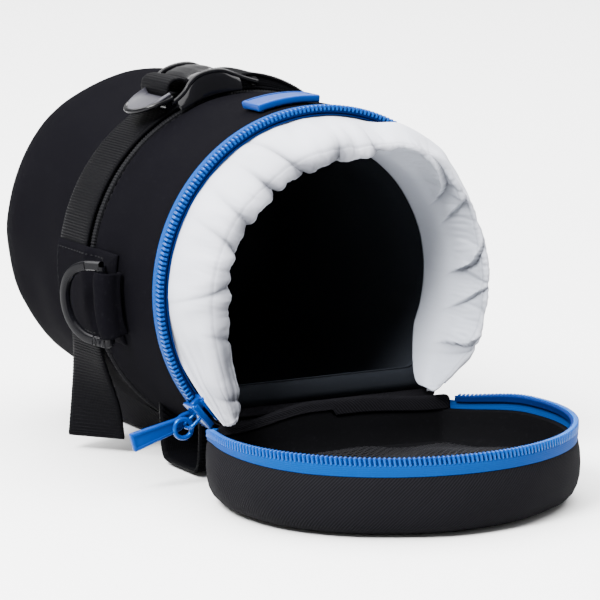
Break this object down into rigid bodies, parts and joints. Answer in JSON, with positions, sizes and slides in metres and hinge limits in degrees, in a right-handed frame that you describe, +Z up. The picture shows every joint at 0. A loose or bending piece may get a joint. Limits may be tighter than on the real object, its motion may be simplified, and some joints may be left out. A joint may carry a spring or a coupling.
{
  "type": "lens pouch",
  "caption": "Padded round drawstring lens pouch with a zip-round lid open on its fabric hinge, a webbing strap with buckle, side D-rings and belt loops.",
  "frame": {"origin": "centre of the back panel's flat outer face, on which the pouch lies", "axes": "+Z up out of the back panel through the round body, +Y along the body from the mouth to the closed end, +X to the wearer's side of the right strap"},
  "size_m": [0.167, 0.3094, 0.1508],
  "materials": {
    "shell": "matte smooth woven",
    "webbing": "matte ribbed",
    "foam": "matte closed-cell foam",
    "lining": "matte",
    "collar": "soft sheen, thin nylon",
    "zip_teeth": "satin",
    "zip_tape": "matte woven",
    "twill": "matte diagonal twill",
    "lid_lining": "matte",
    "mesh": "matte open mesh",
    "slider": "satin paint",
    "badge_rubber": "satin",
    "buckle": "gloss",
    "ring": "gloss"
  },
  "bodies": {
    "pouch": {"front_shell": "shell", "rear_shell": "shell", "seam_binding": "webbing", "foam_sleeve": "foam", "base_foam": "foam", "inner_lining": "lining", "mouth_facing": "lining", "drawstring_collar": "collar", "pouch_zip_coil": "zip_teeth", "pouch_zip_tape": "zip_tape", "hinge_leaf_pouch": "twill", "strap_left": "webbing", "strap_right": "webbing", "strap_tail": "webbing", "ring_tab_left": "shell", "ring_tab_right": "shell", "badge": "badge_rubber", "back_panel": "twill", "belt_loop_left": "webbing", "belt_loop_right": "webbing"},
    "lid": {"lid_wall": "twill", "lid_panel": "twill", "lid_foam": "foam", "lid_lining": "lid_lining", "mesh_pocket": "mesh", "lid_zip_coil": "zip_teeth", "lid_zip_tape": "zip_tape", "hinge_leaf_lid": "twill"},
    "slider": {"zip_slider": "slider"},
    "puller": {"pull_ring": "slider", "puller_tab": "badge_rubber"},
    "ring_left": {"d_ring_left": "ring"},
    "ring_right": {"d_ring_right": "ring"},
    "buckle": {"ladder_lock": "buckle", "webbing_loop": "webbing"}
  },
  "joints": [
    {"name": "lid_hinge", "type": "hinge", "parent": "pouch", "child": "lid", "pos_m": [0, -0.106, 0.024], "axis": [-1, 0, 0], "range_deg": [0, 88]},
    {"name": "zip_travel", "type": "hinge", "parent": "pouch", "child": "slider", "pos_m": [0, -0.1, 0.0725], "axis": [0, 1, 0], "range_deg": [0, 260]},
    {"name": "puller_swing", "type": "hinge", "parent": "slider", "child": "puller", "pos_m": [-0.05844, -0.1, 0.02337], "axis": [0, 1, 0], "range_deg": [-50, 60]},
    {"name": "ring_left_swing", "type": "hinge", "parent": "pouch", "child": "ring_left", "pos_m": [-0.07431, -0.0622, 0.06597], "axis": [-0.0875, 0, 0.9962], "range_deg": [-14, 150]},
    {"name": "ring_right_swing", "type": "hinge", "parent": "pouch", "child": "ring_right", "pos_m": [0.07431, -0.0622, 0.06597], "axis": [-0.0875, 0, -0.9962], "range_deg": [-14, 150]},
    {"name": "buckle_tilt", "type": "hinge", "parent": "pouch", "child": "buckle", "pos_m": [0.00522, -0.0207, 0.14291], "axis": [0, 1, 0], "range_deg": [0, 30]}
  ]
}
